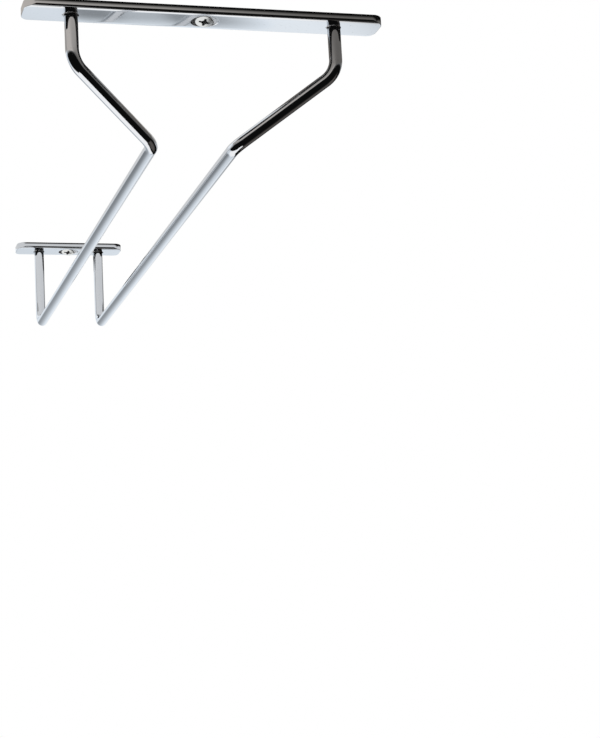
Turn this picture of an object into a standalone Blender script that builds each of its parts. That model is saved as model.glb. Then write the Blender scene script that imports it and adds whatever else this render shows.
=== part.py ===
"""Hanging wine glass rack: one row of stemware hangs by its feet from two bent wires.

The rack is screwed to the underside of a cupboard. Metres, +Z up. The origin is on the axis of
the front screw, in the plane where the bars' top faces meet the cupboard. +Y runs from the open
mouth in front to the back, and +X is to the right of someone who stands in front of the rack.
"""

import bpy
import bmesh
from math import acos, asin, ceil, cos, pi, radians, sin, tan
from mathutils import Matrix, Vector

MM = 0.001

# Flat bars
BAR_WIDTH = 15.0 * MM  # front to back
BAR_THICKNESS = 3.0 * MM
BAR_CORNER_RADIUS = 4.5 * MM  # corners that the ends were punched to, as seen from below
BAR_EDGE_RADIUS = 1.1 * MM  # rolled long edges
COUNTERSINK_DIAMETER = 10.2 * MM  # at the bar's underside
FRONT_OVERHANG = 14.6 * MM  # bar beyond the outer face of each front leg
REAR_OVERHANG = 9.3 * MM  # bar beyond the outer face of each rear leg

# Bent wires
WIRE_DIAMETER = 4.8 * MM
LEG_SPACING = 96.0 * MM  # between the centre lines of the two front legs
STEM_GAP = 25.8 * MM  # clear width between the two rails
LEG_DROP = 17.0 * MM  # underside of the bar to the corner of the first bend
RAIL_DROP = 38.2 * MM  # underside of the bar to the rail's centre line
MOUTH_DEPTH = 26.0 * MM  # how far the mouth runs back before the rails are parallel
RAIL_LENGTH = 300.0 * MM  # between the corners of the mouth bend and the rear bend
LEG_BEND_RADIUS = 8.0 * MM  # bends are measured on the wire's centre line
MOUTH_BEND_RADIUS = 8.0 * MM
REAR_BEND_RADIUS = 6.0 * MM

# Welds where the wires' ends meet the bars
WELD_REACH = 0.6 * MM  # thickness of the bead's ring round the wire
WELD_HEIGHT = 0.9 * MM  # bead below the bar

# Raised countersunk wood screws
SCREW_LENGTH = 12.0 * MM  # edge of the head to the tip
SCREW_DIAMETER = 3.5 * MM  # over the thread
THREAD_DEPTH = 0.5 * MM
THREAD_PITCH = 1.4 * MM
THREAD_ROOT = 0.13 * MM  # how far the thread's centre line lies inside the core
NECK_LENGTH = 0.8 * MM  # plain shank below the head
TIP_LENGTH = 3.2 * MM
TIP_DIAMETER = 0.5 * MM  # blunt end of the tip
HEAD_DIAMETER = 6.6 * MM
HEAD_RIM = 0.25 * MM  # upright edge of the head
HEAD_DOME = 0.5 * MM  # rise of its rounded face
RECESS_SPAN = 4.2 * MM  # across the cross recess, at the top of the dome
RECESS_SLOT = 0.95 * MM  # width of one wing of the recess
RECESS_CORE = 2.3 * MM  # diameter of the recess's middle, at the top of the dome
RECESS_DEPTH = 1.9 * MM

# Fits
SEAT_GAP = 0.3 * MM  # between pieces that touch on the real rack
HOLE_PLAY = 0.45 * MM  # between the screw's thread and the wall of its hole
CUT_OVERRUN = 1.0 * MM  # how far a cutter runs past the face that it cuts
SURFACE_STEP = 0.02 * MM  # keeps two faces apart that would lie in one plane
MERGE_DISTANCE = 0.01 * MM  # points closer than this are one point

# Angles, shares and counts
CONE_ANGLE = radians(90.0)  # full cone angle of the screws' heads and of their countersinks
SCREW_LEAN = radians(15.0)  # the screws were driven at a slant, with their heads to the front
RECESS_TURN = radians(28.0)  # how the driver left each cross
RECESS_FLOOR_SHARE = 0.45  # length of a wing at the recess's floor, as a share of its span
THREAD_RUNOUT_SHARE = 0.35  # size of the thread at its two ends
THREAD_END_SHARE = 0.67  # how far up the tip's cone the thread runs
WIRE_BEVEL_RESOLUTION = 6
ROUND_SIDES = 32
BEND_STEPS = 9
CORNER_STEPS = 8
EDGE_STEPS = 4
WELD_STEPS = 5
THREAD_STEPS_PER_TURN = 16
DOME_STEPS = 6

# Worked out from the sizes above
WIRE_RADIUS = WIRE_DIAMETER / 2
LEG_X = LEG_SPACING / 2
RAIL_X = (STEM_GAP + WIRE_DIAMETER) / 2
FRONT_BAR_LENGTH = LEG_SPACING + WIRE_DIAMETER + 2 * FRONT_OVERHANG
REAR_BAR_LENGTH = 2 * RAIL_X + WIRE_DIAMETER + 2 * REAR_OVERHANG
REAR_Y = MOUTH_DEPTH + RAIL_LENGTH
UNDERSIDE_Z = -BAR_THICKNESS
WIRE_END_Z = UNDERSIDE_Z - SEAT_GAP
RAIL_Z = UNDERSIDE_Z - RAIL_DROP
HOLE_RADIUS = SCREW_DIAMETER / 2 + HOLE_PLAY
CONE_SLOPE = tan(CONE_ANGLE / 2)  # radius gained for each unit of depth
COUNTERSINK_RADIUS = COUNTERSINK_DIAMETER / 2
PLAIN_HOLE_DEPTH = BAR_THICKNESS - (COUNTERSINK_RADIUS - HOLE_RADIUS) / CONE_SLOPE
LEAN_Z = -PLAIN_HOLE_DEPTH / 2  # where a leaning screw crosses the axis of its hole

# Heights along a screw's own axis, from the edge where its head is widest
HEAD_RADIUS = HEAD_DIAMETER / 2
CORE_RADIUS = SCREW_DIAMETER / 2 - THREAD_DEPTH
DOME_RADIUS = (HEAD_RADIUS ** 2 + HEAD_DOME ** 2) / (2 * HEAD_DOME)
FACE_Z = -HEAD_RIM - HEAD_DOME
NECK_Z = (HEAD_RADIUS - CORE_RADIUS) / CONE_SLOPE
TIP_Z = SCREW_LENGTH
TIP_CONE_Z = TIP_Z - TIP_LENGTH

PARTS = "hanging_wine_glass_rack"
CUTTERS = "cutters"


# Scene

def clear_scene():
    for old in list(bpy.data.objects):
        bpy.data.objects.remove(old, do_unlink=True)


def new_collection(name):
    collection = bpy.data.collections.new(name)
    bpy.context.scene.collection.children.link(collection)
    return collection


def make_material(name, colour, roughness, metallic=1.0):
    material = bpy.data.materials.new(name)
    material.use_nodes = True
    shader = material.node_tree.nodes["Principled BSDF"]
    shader.inputs["Base Color"].default_value = (*colour, 1.0)
    shader.inputs["Roughness"].default_value = roughness
    shader.inputs["Metallic"].default_value = metallic
    material.diffuse_color = (*colour, 1.0)
    return material


def smooth(mesh):
    mesh.shade_smooth()
    mesh.set_sharp_from_angle(angle=radians(35.0))


def mesh_object(name, bm, collection, material=None):
    bmesh.ops.recalc_face_normals(bm, faces=bm.faces)
    mesh = bpy.data.meshes.new(name)
    bm.to_mesh(mesh)
    bm.free()
    smooth(mesh)
    made = bpy.data.objects.new(name, mesh)
    collection.objects.link(made)
    if material:
        mesh.materials.append(material)
    return made


def cutter_object(name, bm, cutters):
    cutter = mesh_object(name, bm, cutters)
    cutter.hide_render = True
    cutter.display_type = "WIRE"
    return cutter


def combine(target, tool, operation):
    step = target.modifiers.new(f"{operation.lower()} {tool.name}", "BOOLEAN")
    step.operation = operation
    step.solver = "EXACT"
    step.object = tool


def apply_modifiers(target):
    depsgraph = bpy.context.evaluated_depsgraph_get()
    mesh = bpy.data.meshes.new_from_object(target.evaluated_get(depsgraph))
    rough = target.data
    target.modifiers.clear()
    target.data = mesh
    bpy.data.meshes.remove(rough)
    smooth(mesh)


# Shapes that several pieces share

def cone_between(bm, radius_low, radius_high, z_low, z_high, sides=ROUND_SIDES):
    """A closed cone or cylinder about the Z axis."""
    place = Matrix.Translation((0, 0, (z_low + z_high) / 2))
    bmesh.ops.create_cone(
        bm, cap_ends=True, segments=sides, radius1=radius_low, radius2=radius_high,
        depth=z_high - z_low, matrix=place,
    )


def turned(name, profile, collection, material):
    """A closed profile of (radius, z) points, top to bottom outside, turned about the Z axis."""
    bm = bmesh.new()
    points = [bm.verts.new((radius, 0, z)) for radius, z in profile]
    edges = [bm.edges.new(pair) for pair in zip(points, points[1:] + points[:1])]
    bmesh.ops.spin(
        bm, geom=points + edges, cent=(0, 0, 0), axis=(0, 0, 1), angle=2 * pi,
        steps=ROUND_SIDES, use_merge=True,
    )
    return mesh_object(name, bm, collection, material)


def tube_along(name, points, radius, resolution, collection, radii_share=None):
    """A round tube with filled ends along a list of points, as a curve object."""
    curve = bpy.data.curves.new(name, "CURVE")
    curve.dimensions = "3D"
    curve.twist_mode = "Z_UP" if radii_share else "MINIMUM"
    curve.bevel_depth = radius
    curve.bevel_resolution = resolution
    curve.use_fill_caps = True
    spline = curve.splines.new("POLY")
    spline.points.add(len(points) - 1)
    for index, (target, place) in enumerate(zip(spline.points, points)):
        target.co = (*place, 1.0)
        if radii_share:
            target.radius = radii_share[index]
    spline.use_smooth = True
    made = bpy.data.objects.new(name, curve)
    collection.objects.link(made)
    return made


def curve_to_mesh(source, collection, material):
    """Replace a curve object by its evaluated mesh, with the loose end caps welded on."""
    depsgraph = bpy.context.evaluated_depsgraph_get()
    mesh = bpy.data.meshes.new_from_object(source.evaluated_get(depsgraph))
    bm = bmesh.new()
    bm.from_mesh(mesh)
    bmesh.ops.remove_doubles(bm, verts=bm.verts, dist=MERGE_DISTANCE)
    name = source.name
    place = source.matrix_world.copy()
    bpy.data.objects.remove(source, do_unlink=True)
    bpy.data.meshes.remove(mesh)
    made = mesh_object(name, bm, collection, material)
    made.name = name
    made.matrix_world = place
    return made


def bent_path(corners, radii, steps):
    """Straight runs through the corners, with a round bend of its own radius at each inner one."""
    path = [Vector(corners[0])]
    for before, corner, after, radius in zip(corners, corners[1:], corners[2:], radii):
        corner = Vector(corner)
        inward = (Vector(before) - corner).normalized()
        outward = (Vector(after) - corner).normalized()
        opening = acos(inward.dot(outward))
        middle = (inward + outward).normalized()
        centre = corner + middle * (radius / sin(opening / 2))
        start = corner + inward * (radius / tan(opening / 2)) - centre
        end = corner + outward * (radius / tan(opening / 2)) - centre
        turn = pi - opening
        for step in range(steps + 1):
            share = step / steps
            spoke = start * sin((1 - share) * turn) + end * sin(share * turn)
            path.append(centre + spoke / sin(turn))
    path.append(Vector(corners[-1]))
    return path


# Flat bars

def bevelled_block(size, along, radius, steps):
    """A block about the origin, rounded along the four edges that run along one axis."""
    bm = bmesh.new()
    bmesh.ops.create_cube(bm, size=1.0)
    bmesh.ops.scale(bm, vec=size, verts=bm.verts)
    edges = [
        edge for edge in bm.edges
        if abs(edge.verts[0].co[along] - edge.verts[1].co[along]) > size[along] / 2
    ]
    bmesh.ops.bevel(
        bm, geom=edges, offset=radius, offset_type="OFFSET", segments=steps,
        profile=0.5, affect="EDGES",
    )
    bmesh.ops.translate(bm, vec=(0, 0, -BAR_THICKNESS / 2), verts=bm.verts)
    return bm


def flat_bar(name, length, place, parts, cutters, material):
    """Rolled bar with round long edges, punched to its length with round corners."""
    rolled = (length + 2 * CUT_OVERRUN, BAR_WIDTH, BAR_THICKNESS)
    bm = bevelled_block(rolled, 0, BAR_EDGE_RADIUS, EDGE_STEPS)
    bar = mesh_object(name, bm, parts, material)
    bar.location = place
    width = BAR_WIDTH + 2 * SURFACE_STEP
    punched = (length, width, BAR_THICKNESS + 2 * CUT_OVERRUN)
    corner = min(BAR_CORNER_RADIUS, width / 2 - BAR_EDGE_RADIUS)
    bm = bevelled_block(punched, 2, corner, CORNER_STEPS)
    punch = cutter_object(f"{name}_punch", bm, cutters)
    punch.location = place
    combine(bar, punch, "INTERSECT")
    return bar


def cut_screw_hole(bar, cutters):
    """A plain hole right through, and a countersink that opens downwards."""
    bm = bmesh.new()
    cone_between(
        bm, HOLE_RADIUS, HOLE_RADIUS, UNDERSIDE_Z - CUT_OVERRUN, CUT_OVERRUN
    )
    hole = cutter_object(f"{bar.name}_hole", bm, cutters)
    bm = bmesh.new()
    cone_between(
        bm, COUNTERSINK_RADIUS + CUT_OVERRUN * CONE_SLOPE, 0,
        UNDERSIDE_Z - CUT_OVERRUN, UNDERSIDE_Z + COUNTERSINK_RADIUS / CONE_SLOPE,
    )
    countersink = cutter_object(f"{bar.name}_countersink", bm, cutters)
    for cutter in (hole, countersink):
        cutter.location = bar.location
        combine(bar, cutter, "DIFFERENCE")


# Bent wires

def rail_wire(name, side, parts, material):
    """Front leg, slanted mouth, straight rail and rear leg, bent from one wire."""
    corners = [
        (side * LEG_X, 0, WIRE_END_Z),
        (side * LEG_X, 0, UNDERSIDE_Z - LEG_DROP),
        (side * RAIL_X, MOUTH_DEPTH, RAIL_Z),
        (side * RAIL_X, REAR_Y, RAIL_Z),
        (side * RAIL_X, REAR_Y, WIRE_END_Z),
    ]
    radii = (LEG_BEND_RADIUS, MOUTH_BEND_RADIUS, REAR_BEND_RADIUS)
    path = bent_path(corners, radii, BEND_STEPS)
    wire = tube_along(name, path, WIRE_RADIUS, WIRE_BEVEL_RESOLUTION, parts)
    wire.data.materials.append(material)
    return wire


# Welds

def weld_bead(name, place, parts, material):
    """A collar of weld metal in the corner between a wire's end and the bar's underside."""
    inner = WIRE_RADIUS + SEAT_GAP
    top = UNDERSIDE_Z - SEAT_GAP
    profile = [(inner, top)]
    for step in range(WELD_STEPS + 1):
        angle = pi / 2 * step / WELD_STEPS
        profile.append((inner + WELD_REACH * cos(angle), top - WELD_HEIGHT * sin(angle)))
    bead = turned(name, profile, parts, material)
    bead.location = place
    return bead


# Screws

def screw_core(bm):
    """Rounded face, cone, shank and tip, turned about the Z axis from the face to the tip."""
    profile = []
    for step in range(DOME_STEPS + 1):
        angle = asin(HEAD_RADIUS / DOME_RADIUS) * step / DOME_STEPS
        profile.append((DOME_RADIUS * sin(angle), FACE_Z + DOME_RADIUS * (1 - cos(angle))))
    profile += [
        (HEAD_RADIUS, 0),
        (CORE_RADIUS, NECK_Z),
        (CORE_RADIUS, TIP_CONE_Z),
        (TIP_DIAMETER / 2, TIP_Z),
        (0, TIP_Z),
    ]
    points = [bm.verts.new((radius, 0, z)) for radius, z in profile]
    edges = [bm.edges.new(pair) for pair in zip(points, points[1:])]
    bmesh.ops.spin(
        bm, geom=points + edges, cent=(0, 0, 0), axis=(0, 0, 1), angle=2 * pi,
        steps=ROUND_SIDES, use_merge=True,
    )
    bmesh.ops.remove_doubles(bm, verts=bm.verts, dist=MERGE_DISTANCE)


def thread_path():
    """Points of the thread's helix, and the thread's size at each as a share of its full depth."""
    start_z = NECK_Z + NECK_LENGTH
    end_z = TIP_CONE_Z + TIP_LENGTH * THREAD_END_SHARE
    count = ceil((end_z - start_z) / THREAD_PITCH * THREAD_STEPS_PER_TURN)
    points = []
    size_share = []
    for index in range(count + 1):
        angle = 2 * pi * index / THREAD_STEPS_PER_TURN
        z = start_z + THREAD_PITCH * index / THREAD_STEPS_PER_TURN
        into_tip = max(0, z - TIP_CONE_Z) / TIP_LENGTH
        radius = CORE_RADIUS + (TIP_DIAMETER / 2 - CORE_RADIUS) * into_tip - THREAD_ROOT
        points.append((radius * cos(angle), radius * sin(angle), z))
        from_end = min(index, count - index) / THREAD_STEPS_PER_TURN
        size_share.append(min(1, THREAD_RUNOUT_SHARE + from_end * (1 - THREAD_RUNOUT_SHARE)))
    return points, size_share


def recess_wing(bm, turn):
    """A bar of the cross recess, as long as the span at the top of the dome, shorter at its floor."""
    mouth_share = 1 + (1 - RECESS_FLOOR_SHARE) * CUT_OVERRUN / RECESS_DEPTH
    made = bmesh.ops.create_cube(bm, size=1.0)["verts"]
    for vert in made:
        at_floor = vert.co.z > 0
        vert.co.x *= RECESS_SPAN * (RECESS_FLOOR_SHARE if at_floor else mouth_share)
        vert.co.y *= RECESS_SLOT
        vert.co.z = FACE_Z + RECESS_DEPTH if at_floor else FACE_Z - CUT_OVERRUN
    bmesh.ops.rotate(bm, cent=(0, 0, 0), matrix=Matrix.Rotation(turn, 3, "Z"), verts=made)


def seat_depth():
    """How far the widest edge of a leaning head lies from LEAN_Z, where it stops at its gap."""
    across = HEAD_RADIUS * (cos(SCREW_LEAN) + CONE_SLOPE * sin(SCREW_LEAN))
    room = COUNTERSINK_RADIUS - CONE_SLOPE * (LEAN_Z - UNDERSIDE_Z) - SEAT_GAP / cos(CONE_ANGLE / 2)
    return (across - room) / (CONE_SLOPE * cos(SCREW_LEAN) - sin(SCREW_LEAN))


def wood_screw(name, bar_place, parts, cutters, material):
    lean = Matrix.Rotation(-SCREW_LEAN, 4, "X")
    seat = lean @ Vector((0, 0, -seat_depth()))
    place = Matrix.Translation(bar_place + seat + Vector((0, 0, LEAN_Z))) @ lean

    bm = bmesh.new()
    screw_core(bm)
    screw = mesh_object(name, bm, parts, material)
    points, size_share = thread_path()
    thickness = THREAD_DEPTH + THREAD_ROOT
    helix = tube_along(f"{name}_thread", points, thickness, 0, cutters, size_share)
    thread = curve_to_mesh(helix, cutters, None)
    combine(screw, thread, "UNION")
    tools = [thread]
    for index in range(2):
        bm = bmesh.new()
        recess_wing(bm, RECESS_TURN + index * pi / 2)
        tools.append(cutter_object(f"{name}_recess_wing_{index + 1}", bm, cutters))
    bm = bmesh.new()
    slope = RECESS_CORE / 2 / RECESS_DEPTH
    cone_between(
        bm, RECESS_CORE / 2 + CUT_OVERRUN * slope, 0,
        FACE_Z - CUT_OVERRUN, FACE_Z + RECESS_DEPTH,
    )
    tools.append(cutter_object(f"{name}_recess_core", bm, cutters))
    for tool in tools[1:]:
        combine(screw, tool, "DIFFERENCE")

    apply_modifiers(screw)
    screw.matrix_world = place
    for tool in tools:
        bpy.data.objects.remove(tool, do_unlink=True)
    return screw


# The rack

def build_rack():
    clear_scene()
    parts = new_collection(PARTS)
    cutters = new_collection(CUTTERS)
    front = Vector((0, 0, 0))
    rear = Vector((0, REAR_Y, 0))

    pieces = []
    for name, length, place in (
        ("front_bar", FRONT_BAR_LENGTH, front),
        ("rear_bar", REAR_BAR_LENGTH, rear),
    ):
        chrome = make_material(f"{name}_chrome", (0.80, 0.81, 0.83), 0.06)
        bar = flat_bar(name, length, place, parts, cutters, chrome)
        cut_screw_hole(bar, cutters)
        pieces.append(bar)

    for side, word in ((-1, "left"), (1, "right")):
        chrome = make_material(f"{word}_wire_chrome", (0.78, 0.79, 0.81), 0.07)
        pieces.append(rail_wire(f"{word}_rail_wire", side, parts, chrome))
        for end, x, y in (("front", side * LEG_X, 0), ("rear", side * RAIL_X, REAR_Y)):
            metal = make_material(f"weld_{end}_{word}_metal", (0.55, 0.55, 0.56), 0.28)
            pieces.append(weld_bead(f"weld_{end}_{word}", (x, y, 0), parts, metal))

    for name, place in (("front_screw", front), ("rear_screw", rear)):
        steel = make_material(f"{name}_steel", (0.68, 0.68, 0.67), 0.18)
        pieces.append(wood_screw(name, place, parts, cutters, steel))

    rack = bpy.data.objects.new("rack", None)
    parts.objects.link(rack)
    for piece in pieces:
        piece.parent = rack


build_rack()
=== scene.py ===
"""Looks of the hanging wine glass rack: smooth wires, bars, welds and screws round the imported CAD.

Metres, +Z up, in the CAD's own frame: the front screw's axis at X = Y = 0, the bars' top faces at
Z = 0, the rails running back along +Y.
"""
from math import acos, asin, ceil, copysign, cos, exp, pi, radians, sin, sqrt, tan

import bpy
from mathutils import Matrix, Vector, noise
from mathutils.geometry import tessellate_polygon


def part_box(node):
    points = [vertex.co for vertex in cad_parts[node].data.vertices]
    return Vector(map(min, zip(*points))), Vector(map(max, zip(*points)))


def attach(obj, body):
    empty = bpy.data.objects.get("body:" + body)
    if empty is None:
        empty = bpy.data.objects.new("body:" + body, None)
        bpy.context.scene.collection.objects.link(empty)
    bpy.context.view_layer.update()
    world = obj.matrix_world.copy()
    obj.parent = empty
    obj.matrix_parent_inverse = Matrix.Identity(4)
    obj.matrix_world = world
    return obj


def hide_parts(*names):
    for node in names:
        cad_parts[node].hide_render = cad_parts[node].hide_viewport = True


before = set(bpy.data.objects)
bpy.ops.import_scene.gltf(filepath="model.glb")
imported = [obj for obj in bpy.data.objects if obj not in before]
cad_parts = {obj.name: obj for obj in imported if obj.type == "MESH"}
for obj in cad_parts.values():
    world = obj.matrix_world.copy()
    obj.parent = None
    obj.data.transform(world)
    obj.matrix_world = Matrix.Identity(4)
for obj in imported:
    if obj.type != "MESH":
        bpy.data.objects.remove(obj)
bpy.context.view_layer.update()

MM = 0.001

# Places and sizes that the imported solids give
FRONT_LOW, FRONT_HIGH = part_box("front_bar")
REAR_LOW, REAR_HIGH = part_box("rear_bar")
LEFT_LOW, LEFT_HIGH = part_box("left_rail_wire")
WELD_LOW, WELD_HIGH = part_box("weld_front_left")

TOP_Z = FRONT_HIGH.z
UNDERSIDE_Z = FRONT_LOW.z
BAR_WIDTH = FRONT_HIGH.y - FRONT_LOW.y
BAR_THICKNESS = TOP_Z - UNDERSIDE_Z
FRONT_Y = (FRONT_LOW.y + FRONT_HIGH.y) / 2
REAR_Y = (REAR_LOW.y + REAR_HIGH.y) / 2
WIRE_RADIUS = FRONT_Y - LEFT_LOW.y
LEG_X = -LEFT_LOW.x - WIRE_RADIUS
RAIL_X = -LEFT_HIGH.x + WIRE_RADIUS
RAIL_Z = LEFT_LOW.z + WIRE_RADIUS
WELD_RADIUS = (WELD_HIGH.x - WELD_LOW.x) / 2

# Bars
CORNER_RADIUS = 4.5 * MM  # corners as seen from below
LEAST_CORNER = 0.3 * MM  # what is left of them on the rings further in
TOP_EDGE_RADIUS = 0.4 * MM  # rolled along the upper long edges
EDGE_RADIUS = 0.95 * MM  # rolled along the lower long edges
SHOULDER_RADIUS = 18.0 * MM  # how the underside falls away towards those edges
SHOULDER_LEAN = radians(6.0)
CROWN_RADIUS = 286.0 * MM  # slight rounding right across the underside
CUT_EDGE = 0.15 * MM  # softened edge of the cut ends and corners
CORNER_STEPS = 24
ARC_STEPS = (12, 6)  # rolled edge, shoulder
CUT_STEPS = 5
HOLE_RADIUS = 2.2 * MM
COUNTERSINK_RADIUS = 5.1 * MM
COUNTERSINK_LIP = 0.14 * MM  # how far the countersink's rim is rounded
LIP_STEPS = 5
HOLE_SIDES = 96

# Wires
LEG_CORNER_Z = UNDERSIDE_Z - 17.0 * MM
MOUTH_DEPTH = 26.0 * MM
BEND_RADII = (8.0 * MM, 8.0 * MM, 6.0 * MM)
BEND_STEPS = 26
RUN_STEP = 4.0 * MM  # longest stretch of a straight run between two rings
WIRE_SIDES = 56
WIRE_SINK = 0.15 * MM  # how far a wire's end stands up into the bar

# Welds
WELD_DROP = 1.0 * MM
WELD_SIDES = 72
WELD_RINGS = 14
WELD_GRAIN = 1.1 * MM  # size of the bead's lumps
BEAD_REACH = 0.32  # millimetres that a bead stands out from its wire
BEAD_REACH_LUMP = 0.22  # more of them in a lump
BEAD_REACH_NUB = 0.5  # and in a nub
BEAD_DROP = 0.62  # share of WELD_DROP that a bead hangs down
BEAD_DROP_LUMP = 0.3  # more of it in a lump
BEAD_DROP_NUB = 0.35  # and in a nub
BEAD_HOLLOW = 0.75  # power that fills out its hollow side
BEAD_UNEVEN = 0.12  # how uneven that side is
BEAD_SINK = 0.05 * MM  # how far a bead goes into the wire and the bar

# Screws, about their own axis: Z = 0 at the head's widest edge, +Z towards the tip
HEAD_RADIUS = 3.3 * MM
HEAD_RIM = 0.25 * MM
HEAD_DOME = 0.25 * MM
RIM_ROUND = 0.12 * MM
RIM_STEPS = 5
CORE_RADIUS = 1.25 * MM
THREAD_DEPTH = 0.48 * MM
THREAD_PITCH = 1.4 * MM
THREAD_SPREAD = 0.62  # share of the pitch that the thread's foot takes up
THREAD_CREST = 1.12  # thread depths that the crest would rise if it weren't cut flat
THREAD_FADE = 1.15  # tip lengths, from the tip's start, to where the thread would end
NECK_LENGTH = 0.8 * MM
NECK_ROUND = 0.25 * MM  # rounding between the head's cone and the neck
NECK_FOOT = (0.06 * MM, 0.02 * MM)  # where that rounding meets the neck, outwards and along
SHANK_START = 0.15 * MM  # from the neck's top to the shank's first ring
TIP_LENGTH = 3.2 * MM
TIP_RADIUS = 0.25 * MM
SCREW_LENGTH = 12.0 * MM
SHANK_STEP = 0.07 * MM
SCREW_SIDES = 64
DOME_STEPS = 10
SHARP_ANGLE = radians(38.0)
RECESS_SPAN = 4.2 * MM
RECESS_SLOT = 0.95 * MM
RECESS_CORE = 1.15 * MM
RECESS_DEPTH = 1.9 * MM
RECESS_POINT = 0.3 * MM  # how much deeper its floor is in the middle
RECESS_LEVELS = (0.0, 0.25, 0.4, 1.0)  # shares of its depth where its outline is given
RECESS_TAPER = 0.55  # share of its span that is lost on the way down
LEAST_CORE = 1.5  # the core's smallest radius, in half widths of a wing
WING_SHOULDER = 0.25  # how a wing's end is pointed, in half widths of a wing
WING_POINT = 0.08
CUTTER_PROUD = 1.0 * MM  # how far the cutter starts above the head's face
RECESS_TURN = radians(28.0)
SCREW_LEAN = radians(15.0)
SCREW_TURN = radians(-25.0)  # which way it leans, about the hole's axis
SEAT_GAP = 0.3 * MM

FACE_Z = -HEAD_RIM - HEAD_DOME
NECK_Z = HEAD_RADIUS - CORE_RADIUS
DOME_RADIUS = (HEAD_RADIUS ** 2 + HEAD_DOME ** 2) / (2 * HEAD_DOME)
LEAN_Z = (COUNTERSINK_RADIUS - HOLE_RADIUS - BAR_THICKNESS) / 2  # where its axis crosses the hole's

# Camera, fitted to the photograph's frame of 600 x 738 pixels
IMAGE_HEIGHT = 738
FOCAL_PIXELS = 1872.1
SENSOR_MM = 36.0
CLIP_START = 10.0 * MM
CAMERA_PLACE = Vector((-149.0, -615.8, -250.07)) * MM
CAMERA_VIEW = Vector((0.27167, 0.94441, 0.18518))
CAMERA_RIGHT = Vector((0.96239, -0.2662, -0.05427))

# Floor and lamps
FLOOR_Z = -0.45
FLOOR_REACH = 6.0
FLOOR_FADE = (0.7, 2.2)  # distances between which it fades into the white
LAMP_AIM = Vector((0, 0.16, -0.2))
LAMPS = (  # name, place, width, power
    ("lamp_over", (0.3, 0.2, 1.6), 1.6, 22.0),
    ("lamp_left", (-1.4, -0.6, 0.9), 1.2, 12.0),
)


# Meshes

def mesh_piece(name, points, faces, normals=None):
    """An object from points and faces, smooth, with its exact normals where these are given."""
    mesh = bpy.data.meshes.new(name)
    mesh.from_pydata(points, [], faces)
    mesh.validate()
    mesh.shade_smooth()
    if normals:
        mesh.normals_split_custom_set_from_vertices(normals)
    made = bpy.data.objects.new(name, mesh)
    bpy.context.scene.collection.objects.link(made)
    return made


def ring_faces(first, second):
    """Quads between two closed rings of point numbers of equal length."""
    count = len(first)
    after = [(i + 1) % count for i in range(count)]
    return [(first[i], first[after[i]], second[after[i]], second[i]) for i in range(count)]


def skin_faces(rings):
    """Quads between each ring of point numbers and the next."""
    faces = []
    for first, second in zip(rings, rings[1:]):
        faces += ring_faces(first, second)
    return faces


def closed_skin(name, points, rings, first_tip, last_tip):
    """A skin over rings of point numbers, with a fan of triangles to a point at either end."""
    faces = skin_faces(rings)
    points += [first_tip, last_tip]
    count = len(rings[0])
    for i in range(count):
        after = (i + 1) % count
        faces.append((rings[0][after], rings[0][i], len(points) - 2))
        faces.append((rings[-1][i], rings[-1][after], len(points) - 1))
    return mesh_piece(name, points, faces)


def round_point(radius, angle, z, x=0.0, y=0.0):
    """The point at a distance and an angle from an upright axis."""
    return Vector((x + radius * cos(angle), y + radius * sin(angle), z))


def keep_places(mesh, attribute, places):
    """Store a place with each point, for the finish to be laid out by."""
    lay = mesh.attributes.new(attribute, "FLOAT_VECTOR", "POINT")
    lay.data.foreach_set("vector", [value for place in places for value in place])


def dress(piece, material, node):
    """Give a piece its finish, and let it stand for a CAD node."""
    piece.data.materials.clear()
    piece.data.materials.append(material)
    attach(piece, "root")
    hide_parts(node)


# Wires

def bent_path(corners, radii):
    """Points along straight runs joined by round bends."""
    path = [Vector(corners[0])]
    for before, corner, after, radius in zip(corners, corners[1:], corners[2:], radii):
        corner = Vector(corner)
        inward = (Vector(before) - corner).normalized()
        outward = (Vector(after) - corner).normalized()
        opening = acos(inward.dot(outward))
        middle = (inward + outward).normalized()
        centre = corner + middle * (radius / sin(opening / 2))
        start = corner + inward * (radius / tan(opening / 2)) - centre
        end = corner + outward * (radius / tan(opening / 2)) - centre
        turn = pi - opening
        run_to(path, centre + start)
        for step in range(1, BEND_STEPS + 1):
            share = step / BEND_STEPS
            spoke = start * sin((1 - share) * turn) + end * sin(share * turn)
            path.append(centre + spoke / sin(turn))
    run_to(path, Vector(corners[-1]))
    return path


def run_to(path, target):
    """Carry a path on in a straight line, in steps of equal length."""
    start = path[-1]
    count = max(1, ceil((target - start).length / RUN_STEP))
    for step in range(1, count + 1):
        path.append(start.lerp(target, step / count))


def swept(name, path, radius, sides):
    """A round wire along a path. "straight" holds each point as it lay before the wire was bent."""
    tangents = []
    for index in range(len(path)):
        before = path[max(index - 1, 0)]
        after = path[min(index + 1, len(path) - 1)]
        tangents.append((after - before).normalized())
    across = tangents[0].orthogonal().normalized()
    points, normals, straight, rings = [], [], [], []
    travelled = 0.0
    for index, (point, tangent) in enumerate(zip(path, tangents)):
        if index:
            travelled += (point - path[index - 1]).length
        across = (across - tangent * across.dot(tangent)).normalized()
        other = tangent.cross(across)
        ring = []
        for side in range(sides):
            angle = 2 * pi * side / sides
            spoke = across * cos(angle) + other * sin(angle)
            ring.append(len(points))
            points.append(point + spoke * radius)
            normals.append(spoke)
            straight.append((radius * cos(angle), radius * sin(angle), travelled))
        rings.append(ring)
    faces = skin_faces(rings)
    for ring, facing, order in ((rings[0], -tangents[0], -1), (rings[-1], tangents[-1], 1)):
        cap = [len(points) + i for i in range(sides)]
        points += [points[i].copy() for i in ring]
        straight += [straight[i] for i in ring]
        normals += [facing] * sides
        faces.append(tuple(cap[::order]))
    piece = mesh_piece(name, points, faces, normals)
    keep_places(piece.data, "straight", straight)
    return piece


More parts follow.
